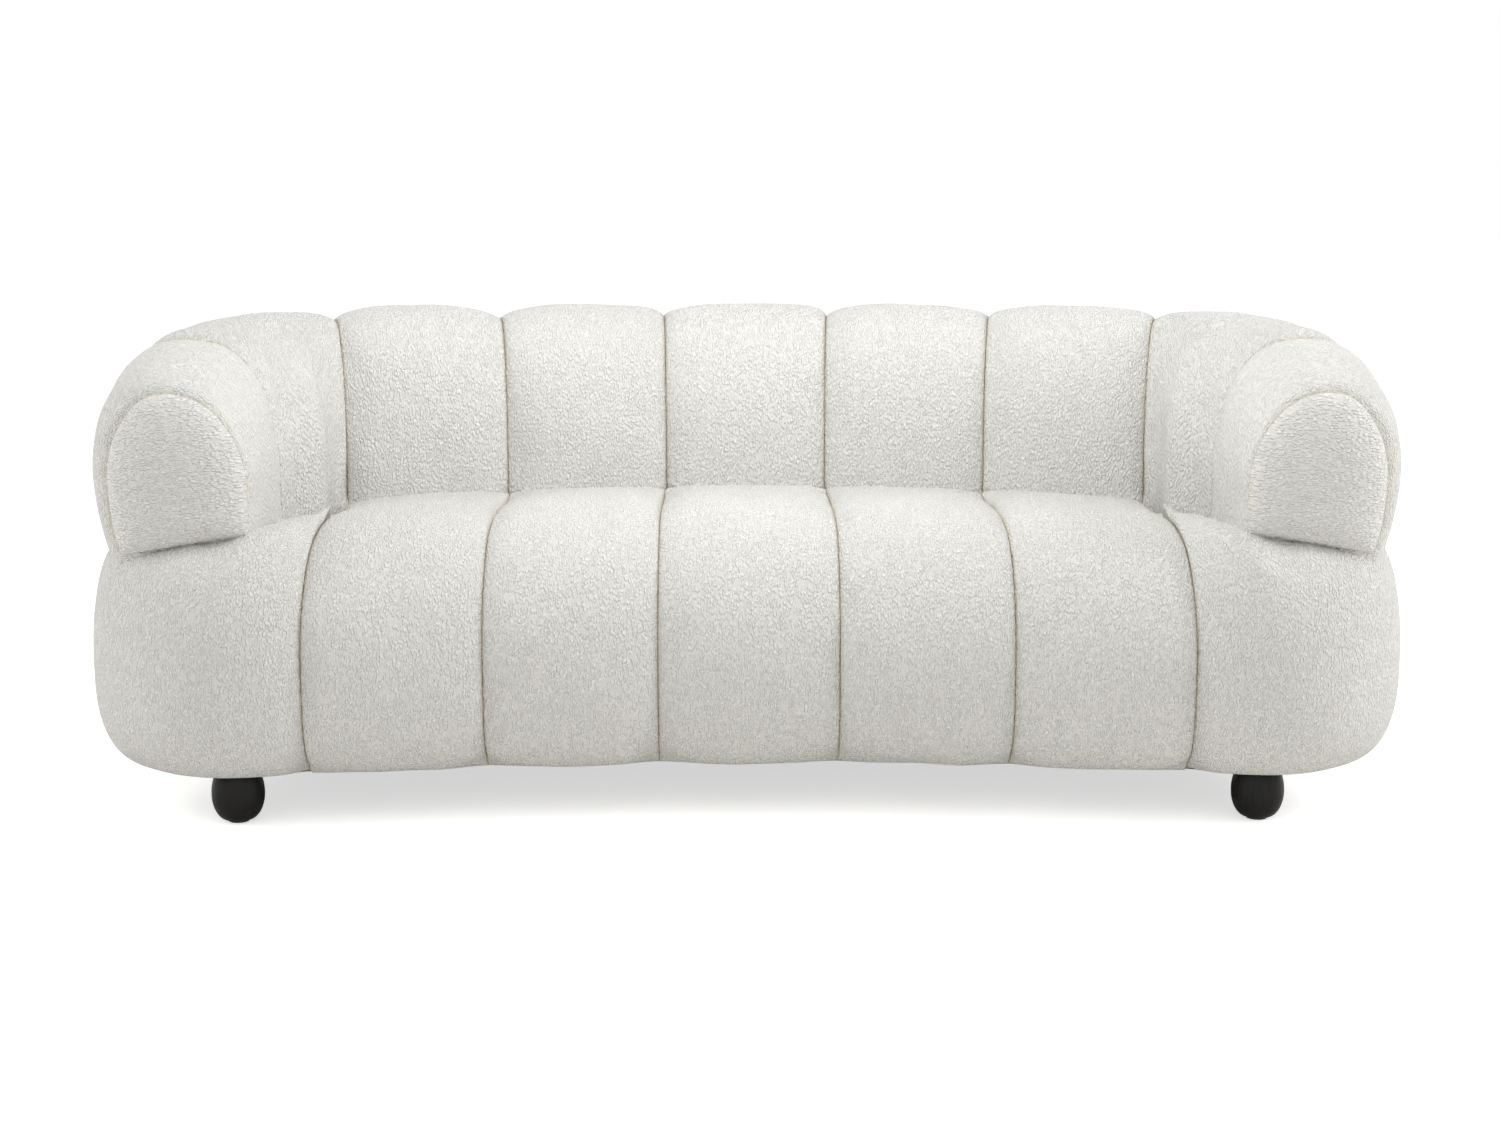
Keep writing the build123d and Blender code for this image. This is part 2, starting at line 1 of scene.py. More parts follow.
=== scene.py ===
"""Looks of the curved channel sofa: padded boucle pieces, black ball feet, finishes, light and camera.

Metres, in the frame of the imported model: +X to the right as seen from the front, +Y to the rear, +Z up.
"""

import math

import bmesh
import bpy
import numpy as np
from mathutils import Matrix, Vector


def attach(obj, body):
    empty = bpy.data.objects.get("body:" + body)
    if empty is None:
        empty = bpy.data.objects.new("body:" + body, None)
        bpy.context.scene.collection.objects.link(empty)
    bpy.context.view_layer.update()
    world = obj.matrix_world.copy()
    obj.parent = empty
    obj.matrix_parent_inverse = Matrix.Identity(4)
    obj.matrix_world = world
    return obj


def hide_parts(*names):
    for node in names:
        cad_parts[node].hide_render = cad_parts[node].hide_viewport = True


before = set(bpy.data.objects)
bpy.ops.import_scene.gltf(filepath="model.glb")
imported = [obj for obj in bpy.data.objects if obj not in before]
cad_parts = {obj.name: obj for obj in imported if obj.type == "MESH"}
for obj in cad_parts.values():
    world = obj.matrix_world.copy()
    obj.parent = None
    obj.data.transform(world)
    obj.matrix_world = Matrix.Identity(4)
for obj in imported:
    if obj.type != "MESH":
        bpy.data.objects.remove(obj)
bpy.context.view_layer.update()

# Sizes that the padded pieces share with the solids
HALF_WIDTH = 1.035
FRONT_Y = -0.470
REAR_Y = 0.470
HEIGHT = 0.766
BODY_BOTTOM = 0.078
BELLY = 0.240
BACK_BOW = 2.600
CORNER_RADIUS = 0.270
BACK_INNER = 0.125
BACK_OUTER = 0.143
ARM_INNER = 0.148
ARM_OUTER = 0.122
CORNER_SWELL = 0.050
CORNER_DROP = 0.022
ARM_DROP = 0.034
PANELS = 5
FOLD_Y = -0.080
CAP_SEAM_Y = -0.365
CAP_FRONT_Y = -0.404
ROLL_FOOT = 0.400
ARM_FOOT = 0.330
FOOT_RUN = 0.200
FOOT_DRAW = 0.026
LOW_FOOT_DRAW = 0.110
SEAT_SEAMS = (0.142, 0.413, 0.686)
FRONT_BOW = 3.500
SHOULDER_X = 0.800
END_CORNER_DEPTH = 0.220
SEAT_TOP = 0.475
END_TOP = 0.468
END_FALL = 0.024
LOWER_RUN = 0.105
SEAT_NOSE = 0.270
END_NOSE = 0.120
SIDE_RUN = 0.060
SIDE_FALL = 0.020
END_LOWER_RUN = 0.118
END_SEAM_RUN = 0.135
PIVOT_ROOM = 0.012
BASE_NOSE = 0.046
BASE_REACH = 0.0947
BASE_TOP = ROLL_FOOT - 0.0003
BASE_CORNER_REACH = 0.232
BASE_CORNER_TOP = 0.438
SEAT_EDGE = (0.021, 4.2)
ROLL_EDGE = (0.024, 3.6)
CORNER_EDGE = (0.026, 3.0)
FOLD_EDGE = (0.009, 6.0)
ARM_TAPER = 0.050
CAP_CREASE = 0.004
CAP_REST = 0.461
CAP_REST_SLOPE = 0.155
CAP_TUCK = 0.036
CAP_LEAST = 0.15
TAPER_START_Y = -0.100

# Roundings and eases of the sections
LOWER_FULLNESS = 2.5
NOSE_FULLNESS = 2.3
ROLL_FULLNESS = 2.4
ARM_ROUNDING = 0.35
TOP_EASE = 1.6
LEAST_RUN = 0.002
INNER_SPRING = ROLL_FOOT + 0.130
OUTER_SPRING = ROLL_FOOT + 0.150
INNER_LEAN = 0.035
SWELL_EASE = 1.4
CORNER_DROP_EASE = 1.5
ARM_DROP_EASE = 1.3
CROWN_FALL = 0.012
CROWN_RUN = 0.7
SEAT_TUCK = 0.012
SEAT_REAR_FALL = 0.020
TAPER_TOP_SHARE = 0.15
CAP_DOME = (2.6, 1.9)
CAP_HOLE = 0.02
CAP_CROWDING = 1.25
END_NOSE_EASE = 0.12
END_TOP_EASE = 0.2

# Padding and seams; each wave of the unevenness is its length, its size and whether it puckers a seam
WAVES = (
    (0.30, 0.0016, False),
    (0.17, 0.0010, False),
    (0.09, 0.0005, False),
    (0.034, 0.0006, True),
    (0.021, 0.0005, True),
)
WAVE_REPEATS = 5
PUCKER_SLANT = 0.25
SEAM_CALM = 0.6
START_EASE = 0.05
END_EASE = 0.08
END_CALM = 0.6
SEAM_BAND = (0.970, 0.998)
CAP_SEAM_BAND = (0.965, 1.0)
CAP_SEAM_SHADE = 0.35

# Room for the wooden frame inside the pieces
RAIL_SETBACK = 0.092
RAIL_HALF = 0.0125
FRAME_CORNER = 0.080
DECK = 0.303
SLOT_HALF = 0.0323
SLOT_TOP = 0.6723
SLOT_FRONT_Y = -0.330
SEAM_GAP = 0.00015

# Feet
FRONT_FOOT_X = 0.804
REAR_FOOT_X = 0.610
FOOT_SETBACK = 0.037
FOOT_RADIUS = 0.0415
FOOT_BELLY = 0.045
FOOT_TOP = 0.033
FOOT_FLOOR = 0.017
FOOT_HEAD = 0.0825
FOOT_SHOULDER = 2.1
FOOT_SIDES = 72
GLIDE = 0.003
AXIS_ROOM = 0.001

# Fineness of the meshes
ACROSS = 44
ARM_EXTRA = 8
END_EXTRA = 40
AROUND = 210
CAP_RINGS = 40
CAP_FLOOR_POINTS = 60
END_FRONT_POINTS = 300
END_SIDE_POINTS = 60
END_PATH_POINTS = 800
END_SEARCH_POINTS = 400
CROWDING = 1.7
SHARP_FOLD = math.radians(55)

# Settling of the cloth under its filling
SETTLE_FRAMES = 20
SETTLE_STEPS = 2
SETTLE_PRESSURE = 4.0
SETTLE_CAP = 0.004
HELD_END = 12

# Cloth: loops per metre, how far they wander, their relief, and the tones of hollows (painted shade),
# ridges and stitches (stitch dots with the painted warm shade of the seam creases)
LOOPS = (300, 150, 1)
LOOP_WANDER = (0.0030, 0.0020, 0)
LOOP_RELIEF = 0.0030
FIBRE_SHARE = 0.35
# The hollow tone is painted shade between the loops; the ridge tone is the cloth's own cream
HOLLOW_SHADE_TONE = (0.760, 0.747, 0.705, 1)
RIDGE_TONE = (0.925, 0.921, 0.904, 1)
# Stitch dots along the seams, carrying the painted warm shade of the seam creases
STITCH_AND_CREASE_SHADE_TONE = (0.86, 0.79, 0.66, 1)
STITCH_LENGTH = 0.0028
PATTERN_SHIFT = 40

# Camera fitted to the photograph: focal length and width in its pixels, place, tilt and turn in degrees
FOCAL = 2487
IMAGE_WIDTH = 1500
CAMERA_PLACE = (-0.042, -4.143, 1.075)
CAMERA_TILT = 9.9
CAMERA_TURN = 0.656

# Light: strength of the surroundings, the floor's glow, and each lamp's place, aim, width, depth and watts
SURROUNDINGS = 0.52
FLOOR_GLOW = 0.62
LAMPS = {
    "key": ((-0.15, -2.9, 2.5), (0, -0.2, 0.4), 2.2, 2.2, 13),
    "right": ((2.8, -0.6, 1.5), (-0.8, 0.15, 0.55), 1.2, 1.2, 30),
    "left": ((-2.8, -0.6, 1.5), (0.8, 0.15, 0.55), 1.2, 1.2, 19),
    "rear": ((-0.6, 3.4, 2.6), (0, 0.3, 0.4), 2.4, 2.4, 40),
    "over": ((0.45, -0.45, 2.7), (-0.10, 0.25, 0.45), 1.8, 1.8, 13),
    "back": ((0, -0.38, 1.10), (0, 0.30, 0.50), 1.5, 0.4, 3.2),
}

# Derived places of the roll's centre line
BOW_CENTRE_Y = REAR_Y - BACK_OUTER - BACK_BOW
ARM_X = HALF_WIDTH - ARM_OUTER
CORNER_X = ARM_X - CORNER_RADIUS
CORNER_Y = BOW_CENTRE_Y + math.sqrt((BACK_BOW - CORNER_RADIUS) ** 2 - CORNER_X**2)
CORNER_ANGLE = math.asin(CORNER_X / (BACK_BOW - CORNER_RADIUS))
BACK_HALF = BACK_BOW * CORNER_ANGLE
CORNER_END = BACK_HALF + CORNER_RADIUS * (math.pi / 2 - CORNER_ANGLE)
FRONT_BOW_CENTRE_Y = FRONT_Y - math.sqrt(FRONT_BOW**2 - SHOULDER_X**2)
PANEL = 2 * BACK_HALF / PANELS
FRAME_SIDE_X = ARM_X + RAIL_HALF
FRAME_CORNER_X = FRAME_SIDE_X - FRAME_CORNER

rng = np.random.default_rng(7)


def along_roll(y):
    """Length along the roll's centre line at which an arm reaches the depth y."""
    return CORNER_END + CORNER_Y - y


def roll_frame(s):
    """Point on the roll's centre line at the length s from its middle, and its outward direction."""
    if abs(s) <= BACK_HALF:
        angle, centre, radius = s / BACK_BOW, (0, BOW_CENTRE_Y), BACK_BOW
    elif s <= CORNER_END:
        angle = CORNER_ANGLE + (s - BACK_HALF) / CORNER_RADIUS
        centre, radius = (CORNER_X, CORNER_Y), CORNER_RADIUS
    else:
        angle, centre, radius = math.pi / 2, (CORNER_X, CORNER_Y - (s - CORNER_END)), CORNER_RADIUS
    outward = np.array([math.sin(angle), math.cos(angle)])
    return np.array(centre) + outward * radius, outward


def smooth(low, high, value):
    """Eased share of the way from low to high."""
    t = np.clip((value - low) / (high - low), 0, 1)
    return t * t * (3 - 2 * t)


def fall(share, power=2.2):
    """Fall of a rounded edge, from 0 at its crown to 1 at its end."""
    share = np.clip(share, 0, 1)
    return 1 - (1 - share**power) ** (1 / power)


def pillow(t, sharp=4.0, root=1.6):
    """How far a seam draws a channel in: 0 in its middle, 1 at its seams (t = -1 and 1)."""
    t = np.clip(np.abs(t), 0, 1)
    return 1 - (1 - t**sharp) ** (1 / root)


def arc(centre, run, rise, start, end, power=2.3, count=40):
    """Points of a full-bodied ellipse between two angles in degrees."""
    angles = np.radians(np.linspace(start, end, count))
    c, s = np.cos(angles), np.sin(angles)
    x = np.sign(c) * np.abs(c) ** (2 / power)
    z = np.sign(s) * np.abs(s) ** (2 / power)
    return np.column_stack([centre[0] + run * x, centre[1] + rise * z])


def resample(points, count):
    """Points evenly spaced along an open line, and their distance from its start."""
    points = points[np.r_[True, np.linalg.norm(np.diff(points, axis=0), axis=1) > 1e-7]]
    length = np.r_[0, np.cumsum(np.linalg.norm(np.diff(points, axis=0), axis=1))]
    places = np.linspace(0, length[-1], count)
    return np.column_stack([np.interp(places, length, points[:, i]) for i in (0, 1)]), places


def inward_normals(line):
    """Unit normals of an open line, on its right-hand side."""
    d = np.gradient(line, axis=0)
    d /= np.maximum(np.linalg.norm(d, axis=1, keepdims=True), 1e-9)
    return np.column_stack([d[:, 1], -d[:, 0]])


def block_line(front, rear, bottom, top, rear_top, lower, nose):
    """Shown line across a seat or base piece, from its lower edge, over its belly, to its rear end."""
    lower_arc = arc((front + lower, BELLY), lower, BELLY - bottom, 270, 180, LOWER_FULLNESS)
    nose_arc = arc((front + nose, BELLY), nose, top - BELLY, 180, 90, NOSE_FULLNESS, 70)
    over = np.linspace(0, 1, 20)[1:]
    run = max(rear - front - nose, LEAST_RUN)
    flat = np.column_stack([front + nose + run * over, top + (rear_top - top) * over**TOP_EASE])
    return np.vstack([lower_arc, nose_arc, flat])


def roll_line(inner, outer, foot, crest, power=ROLL_FULLNESS):
    """Shown line across the roll, from its inner foot over its crest to its outer foot."""
    rise = np.linspace(0, 1, 20)
    lean = -inner * (1 - INNER_LEAN + INNER_LEAN * np.sin(rise * np.pi / 2))
    inner_side = np.column_stack([lean, foot + (INNER_SPRING - foot) * rise])
    inner_arc = arc((0, INNER_SPRING), inner, crest - INNER_SPRING, 180, 90, power, 60)
    outer_arc = arc((0, OUTER_SPRING), outer, crest - OUTER_SPRING, 90, 0, power, 60)
    drop = np.linspace(0, 1, 30)[1:]
    draw = np.interp(foot, (ARM_FOOT, ROLL_FOOT), (LOW_FOOT_DRAW, FOOT_DRAW))
    down = OUTER_SPRING + (foot - OUTER_SPRING) * drop
    outer_side = np.column_stack([outer - draw * fall(drop, 2.0), down])
    return np.vstack([inner_side, inner_arc, outer_arc, outer_side])


def roll_sizes(s):
    """Inner and outer half thickness, and crest height, of the roll at the length s."""
    s = abs(s)
    turn = np.clip((s - BACK_HALF) / (along_roll(FOLD_Y) - BACK_HALF), 0, 1)
    arm = np.clip((s - along_roll(FOLD_Y)) / (FOLD_Y - CAP_SEAM_Y), 0, 1)
    inner = BACK_INNER + (ARM_INNER - BACK_INNER) * smooth(0, 1, turn)
    inner += CORNER_SWELL * math.sin(math.pi * turn) ** SWELL_EASE
    outer = BACK_OUTER + (ARM_OUTER - BACK_OUTER) * smooth(0, 1, turn)
    crest = HEIGHT - CORNER_DROP * turn**CORNER_DROP_EASE - ARM_DROP * arm**ARM_DROP_EASE
    return inner, outer, crest


def roll_foot(s):
    """Height of the roll's lower edge: it sinks into the base from the corner on."""
    return ROLL_FOOT + (ARM_FOOT - ROLL_FOOT) * smooth(BACK_HALF, BACK_HALF + FOOT_RUN, abs(s))


def front_line(x):
    """Depth of the most forward line of the seat at x."""
    x = abs(x)
    if x <= SHOULDER_X:
        return FRONT_BOW_CENTRE_Y + math.sqrt(FRONT_BOW**2 - x**2)
    return FRONT_Y + END_CORNER_DEPTH * fall((x - SHOULDER_X) / (HALF_WIDTH - SHOULDER_X))


def uneven(places, length, near):
    """Slight unevenness of the padding, in metres, with small puckers where a seam is near."""
    field = np.zeros((len(places), len(length)))
    for wave, size, pucker in WAVES:
        for _ in range(WAVE_REPEATS):
            heading, phase = rng.uniform(0, 2 * math.pi, 2)
            across, along = math.cos(heading), math.sin(heading)
            if pucker:
                across, along = PUCKER_SLANT * across, 1.0
            angle = 2 * math.pi / wave * (across * places[:, None] + along * length[None, :]) + phase
            share = near[:, None] if pucker else 1 - SEAM_CALM * near[:, None]
            field += size / 2 * np.sin(angle) * share
    return field


def stations(count):
    """Places from -1 to 1 across a channel, closer together near its seams."""
    t = np.linspace(-1, 1, count)
    return np.sign(t) * (1 - (1 - np.abs(t)) ** CROWDING)


def between(start, end, t):
    """Places along a channel at the stations t, with a hair's room at its seams."""
    return (start + end) / 2 + (end - start - 2 * SEAM_GAP) / 2 * t


def piece_from(name, rows, grain, seam, measured=True):
    """Mesh object from rows of points: closed around each row, with its two ends filled.

    The ends, and what each row has beyond its shown line, are held when the cloth settles.
    """
    count, size, _ = rows.shape
    steps = np.linalg.norm(np.diff(rows, axis=0), axis=2)
    if measured:
        grain[1:, :, 0] = grain[0, :, 0] + np.cumsum(steps, axis=0)
    index = np.arange(count * size).reshape(count, size)
    after = np.roll(index, -1, axis=1)
    quads = np.stack([index[:-1], after[:-1], after[1:], index[1:]], axis=-1).reshape(-1, 4)
    faces = quads.tolist() + [index[0][::-1].tolist(), index[-1].tolist()]
    mesh = bpy.data.meshes.new(name)
    mesh.from_pydata(rows.reshape(-1, 3).tolist(), [], faces)
    grain_data = mesh.attributes.new("grain", "FLOAT_VECTOR", "POINT").data
    grain_data.foreach_set("vector", grain.reshape(-1).astype(np.float32))
    seam_data = mesh.attributes.new("seam", "FLOAT", "POINT").data
    seam_data.foreach_set("value", seam.reshape(-1).astype(np.float32))
    piece = bpy.data.objects.new(name, mesh)
    bpy.context.scene.collection.objects.link(piece)
    tidy_mesh(piece)
    held = np.ones((count, size), bool)
    held[1:-1, HELD_END : AROUND - HELD_END] = False
    piece.vertex_groups.new(name="held").add(np.flatnonzero(held).tolist(), 1.0, "REPLACE")
    return piece


def points_of(mesh):
    """Places of a mesh's points."""
    points = np.empty(len(mesh.vertices) * 3, np.float32)
    mesh.vertices.foreach_get("co", points)
    return points.reshape(-1, 3)


def settle(pieces):
    """Let the cloth of the pads settle under the push of their filling, as far as SETTLE_CAP."""
    for piece in pieces:
        cloth = piece.modifiers.new("cloth", "CLOTH")
        cloth.settings.quality = SETTLE_STEPS
        cloth.settings.vertex_group_mass = "held"
        cloth.settings.use_pressure = True
        cloth.settings.uniform_pressure_force = SETTLE_PRESSURE
        cloth.settings.effector_weights.gravity = 0
        cloth.collision_settings.use_collision = False
    for number in range(1, SETTLE_FRAMES + 1):
        bpy.context.scene.frame_set(number)
    graph = bpy.context.evaluated_depsgraph_get()
    for piece in pieces:
        start = points_of(piece.data)
        move = points_of(piece.evaluated_get(graph).data) - start
        far = np.maximum(np.linalg.norm(move, axis=1, keepdims=True), 1e-9)
        start += move * SETTLE_CAP * np.tanh(far / SETTLE_CAP) / far
        piece.data.vertices.foreach_set("co", start.ravel())
        piece.modifiers.clear()
        piece.data.update()
    bpy.context.scene.frame_set(1)


def tidy_mesh(piece):
    """Turn the faces outward, smooth them, and keep the folds at the hidden edges sharp."""
    work = bmesh.new()
    work.from_mesh(piece.data)
    bmesh.ops.recalc_face_normals(work, faces=work.faces)
    for face in work.faces:
        face.smooth = True
    for edge in work.edges:
        if len(edge.link_faces) == 2 and edge.calc_face_angle(0) > SHARP_FOLD:
            edge.smooth = False
    work.to_mesh(piece.data)
    work.free()


def channel_rows(places, sections, depths, near, to_world, hidden, weigh=None):
    """Rows of points, their grain and their nearness to a seam, for a channel.

    places run along the channel, and sections gives the shown line at each of them. depths is how far it is
    drawn in there, and near is how close a seam is. hidden closes the line inside the piece, and weigh adds
    to the depth by the line's normals.
    """
    rows, grains, seams = [], [], []
    number = rng.uniform(0, PATTERN_SHIFT)
    lines = [resample(sections(place), AROUND) for place in places]
    wander = uneven(np.asarray(places), lines[len(lines) // 2][1], np.asarray(near))
    for k, place in enumerate(places):
        line, length = lines[k]
        normals = inward_normals(line)
        depth = (depths[k] + wander[k]) * smooth(0, START_EASE, length)
        depth *= 1 - END_CALM * smooth(length[-1] - END_EASE, length[-1], length)
        if weigh:
            depth = depth + weigh(place, -normals)
        line = line + normals * depth[:, None]
        inner = hidden(place, line)
        loop = np.vstack([line, inner])
        rows.append(to_world(place, loop))
        run = np.r_[length, -np.linalg.norm(inner - line[0], axis=1)]
        grains.append(np.column_stack([np.full(len(loop), place), run, np.full(len(loop), number)]))
        seams.append(np.full(len(loop), near[k]))
    return np.array(rows), np.array(grains), np.array(seams)


def seat_world(x, loop):
    """Points of a seat section in the row frame."""
    return np.column_stack([np.full(len(loop), x), loop])


def roll_world(s, loop):
    """Points of a roll section in the row frame."""
    point, outward = roll_frame(s)
    return np.column_stack([point + loop[:, :1] * outward, loop[:, 1]])


def base_world(s, loop):
    """Points of a base section in the row frame; its own axis points inward."""
    return roll_world(s, loop * np.array([-1, 1]))


def block_hidden(line, inside, deck=DECK):
    """Inside of a seat or base section: along the deck, down the frame's face and to the lower edge."""
    end, start = line[-1], line[0]
    inside = max(inside, start[0] + LEAST_RUN)
    flap = np.linspace([inside, start[1]], start, 6)[:-1]
    return np.vstack([[[end[0], deck], [inside, deck]], flap])


def frame_front(x):
    """Depth of the wooden frame's front face at x, round its corner."""
    straight = min(abs(x), FRAME_CORNER_X)
    bow = FRONT_BOW_CENTRE_Y + math.sqrt((FRONT_BOW + RAIL_SETBACK) ** 2 - straight**2)
    past = min(max(abs(x) - FRAME_CORNER_X, 0), FRAME_CORNER)
    return bow + FRAME_CORNER - math.sqrt(FRAME_CORNER**2 - past**2)


def roll_hidden(place, line):
    """Inside of a roll section: its foot and the slot for the posts."""
    top = SLOT_TOP if abs(place) < along_roll(SLOT_FRONT_Y) else line[-1][1] + 0.001
    low_out, low_in = line[-1][1], line[0][1]
    return np.array([[SLOT_HALF, low_out], [SLOT_HALF, top], [-SLOT_HALF, top], [-SLOT_HALF, low_in]])


def drawn_in(t, first=SEAT_EDGE, last=SEAT_EDGE):
    """Depth of the seams' pull, and nearness of a seam, at the places t across a channel.

    first and last are the (depth, sharpness) of the rounding at its two seams.
    """
    depths = []
    for u in t:
        depth, sharp = first if u < 0 else last
        depths.append(depth * pillow(u, sharp))
    return np.array(depths), smooth(*SEAM_BAND, np.abs(t))


def seat_piece(name, start, end):
    """Seat channel from under its front edge over the nose to the back."""
    t = stations(ACROSS)
    places = between(start, end, t)

    def section(x):
        back = BOW_CENTRE_Y + math.sqrt((BACK_BOW - BACK_INNER) ** 2 - x**2)
        crown = SEAT_TOP - CROWN_FALL * (x / CROWN_RUN) ** 2
        rear, rear_top = back + SEAT_TUCK, crown - SEAT_REAR_FALL
        return block_line(front_line(x), rear, BODY_BOTTOM, crown, rear_top, LOWER_RUN, SEAT_NOSE)

    def hidden(x, line):
        return block_hidden(line, frame_front(x))

    return piece_from(name, *channel_rows(places, section, *drawn_in(t), seat_world, hidden))


def base_piece(name, start, end, reach, inner_top):
    """Base channel below the roll."""
    t = stations(ACROSS)
    places = between(start, end, t)

    def section(s):
        outer = roll_sizes(s)[1]
        return block_line(-outer, reach, BODY_BOTTOM, BASE_TOP, inner_top, LOWER_RUN, BASE_NOSE)

    def hidden(s, line):
        return block_hidden(line, -RAIL_HALF)

    return piece_from(name, *channel_rows(places, section, *drawn_in(t), base_world, hidden))


def roll_piece(name, start, end, first=ROLL_EDGE, last=ROLL_EDGE):
    """Channel of the back, or the turn of a corner."""
    t = stations(ACROSS)
    places = between(start, end, t)

    def section(s):
        inner, outer, crest = roll_sizes(s)
        return roll_line(inner, outer, roll_foot(s), crest)

    edges = drawn_in(t, first, last)
    return piece_from(name, *channel_rows(places, section, *edges, roll_world, roll_hidden))


def arm_taper(s, outward):
    """How far the arm is rounded in towards its cap: most on its outer side, not on its inner side."""
    y = CORNER_Y - (s - CORNER_END)
    share = fall((TAPER_START_Y - y) / (TAPER_START_Y - CAP_SEAM_Y), 2.0)
    facing = 0.5 + 0.5 * outward[:, 0] + TAPER_TOP_SHARE * outward[:, 1]
    return ARM_TAPER * share * np.clip(facing, 0, 1)


def arm_section(s):
    """Shown line across an arm, rounder towards its cap."""
    inner, outer, crest = roll_sizes(s)
    front = smooth(along_roll(FOLD_Y), along_roll(CAP_SEAM_Y), s)
    return roll_line(inner, outer, ARM_FOOT, crest, ROLL_FULLNESS - ARM_ROUNDING * front)


def arm_piece(name):
    """Arm from the fold to the seam of its cap."""
    t = stations(ACROSS + ARM_EXTRA)
    places = along_roll(FOLD_Y) + (FOLD_Y - CAP_SEAM_Y) * (t + 1) / 2
    at_cap = smooth(*CAP_SEAM_BAND, t)
    depths, near = drawn_in(np.minimum(t, 0), FOLD_EDGE)
    depths += CAP_CREASE * at_cap
    near = np.maximum(near, CAP_SEAM_SHADE * at_cap)
    shown = channel_rows(places, arm_section, depths, near, roll_world, roll_hidden, arm_taper)
    return piece_from(name, *shown)


def cap_piece(name):
    """Domed cap that closes the front of an arm, with its cloth turned across."""
    s = along_roll(CAP_SEAM_Y)
    line, _ = resample(arm_section(s), AROUND)
    normals = inward_normals(line)
    line = line + normals * (arm_taper(s, -normals) + CAP_CREASE)[:, None]
    floor_line = np.linspace(line[-1], line[0], CAP_FLOOR_POINTS)[1:-1]
    loop = np.vstack([line, floor_line])
    centre = np.array([loop[:, 0].mean(), 0.5 * (loop[:, 1].min() + loop[:, 1].max())])
    rows, grains, seams = [], [], []
    number = rng.uniform(0, PATTERN_SHIFT)
    rings = 1 - (1 - np.linspace(1, CAP_HOLE, CAP_RINGS)) ** CAP_CROWDING
    full, round_off = CAP_DOME
    for r in rings:
        ring = centre + (loop - centre) * r
        bulge = (CAP_SEAM_Y - CAP_FRONT_Y) * (1 - r**full) ** (1 / round_off)
        rest = CAP_REST - CAP_REST_SLOPE * (ring[:, 0] + ARM_INNER)
        tuck = 1 - (1 - CAP_LEAST) * fall(1 - (ring[:, 1] - rest) / CAP_TUCK, 2.0)
        places = [roll_world(s + bulge * k, ring[i : i + 1]) for i, k in enumerate(tuck)]
        rows.append(np.vstack(places))
        grains.append(np.column_stack([ring[:, 1], ring[:, 0], np.full(len(ring), number)]))
        seams.append(np.full(len(ring), CAP_SEAM_SHADE * float(smooth(*CAP_SEAM_BAND, r))))
    return piece_from(name, np.array(rows), np.array(grains), np.array(seams), measured=False)


def end_piece(name):
    """Rounded end of the seat: its sections turn about the inner end of the side seam."""
    pivot = np.array([SEAT_SEAMS[-1] + SEAM_GAP, FOLD_Y - SEAM_GAP])
    x = pivot[0] + (HALF_WIDTH - pivot[0]) * np.sin(np.linspace(0, np.pi / 2, END_FRONT_POINTS))
    front = np.column_stack([x, [front_line(v) for v in x]])
    side_y = np.linspace(front[-1, 1], pivot[1], END_SIDE_POINTS + 1)[1:]
    side = np.column_stack([np.full(END_SIDE_POINTS, HALF_WIDTH), side_y])
    path, run = resample(np.vstack([front, side]), END_PATH_POINTS)
    corner_run = np.interp(SHOULDER_X, path[:, 0], run)
    t = stations(ACROSS + END_EXTRA)
    places = run[-1] * (t + 1) / 2
    edge = np.maximum(1 - places / END_SEAM_RUN, 1 - (run[-1] - places) / END_SEAM_RUN)
    depths, near = drawn_in(np.maximum(edge, 0))

    def aim(s):
        point = np.array([np.interp(s, run, path[:, i]) for i in (0, 1)])
        reach = np.linalg.norm(pivot - point)
        return point, (pivot - point) / reach, reach - PIVOT_ROOM

    def section(s):
        reach = aim(s)[2]
        nose = SEAT_NOSE + (END_NOSE - SEAT_NOSE) * smooth(0, corner_run, s)
        nose += (SIDE_RUN - END_NOSE) * smooth(corner_run, run[-1] - END_NOSE_EASE, s)
        top = END_TOP - END_FALL * smooth(0, corner_run + END_TOP_EASE, s)
        top -= SIDE_FALL * smooth(run[-1] - END_TOP_EASE, run[-1], s)
        return block_line(0, reach, BODY_BOTTOM, top, top, END_LOWER_RUN, nose)

    def hidden(s, line):
        point, way, reach = aim(s)
        for a in np.linspace(0, reach, END_SEARCH_POINTS):
            x, y = point + way * a
            if x < FRAME_SIDE_X and y > frame_front(x):
                break
        return block_hidden(line, a)

    def to_world(s, loop):
        point, way, _ = aim(s)
        return np.column_stack([point + loop[:, :1] * way, loop[:, 1]])

    return piece_from(name, *channel_rows(places, section, depths, near, to_world, hidden))


def mirrored(piece, name):
    """Left-hand twin of a right-hand piece."""
    mesh = piece.data.copy()
    mesh.name = name
    points = points_of(mesh)
    points[:, 0] *= -1
    mesh.vertices.foreach_set("co", points.ravel())
    mesh.flip_normals()
    twin = bpy.data.objects.new(name, mesh)
    bpy.context.scene.collection.objects.link(twin)
    return twin


def nodes_of(name):
    """New material with its node tree's parts."""
    material = bpy.data.materials.new(name)
    material.use_nodes = True
    tree = material.node_tree
    return material, tree.nodes, tree.links, tree.nodes["Principled BSDF"]


def node(tree, kind, **values):
    """New node with the named inputs set."""
    made = tree.nodes.new(kind)
    for name, value in values.items():
        made.inputs[name.replace("_", " ")].default_value = value
    return made


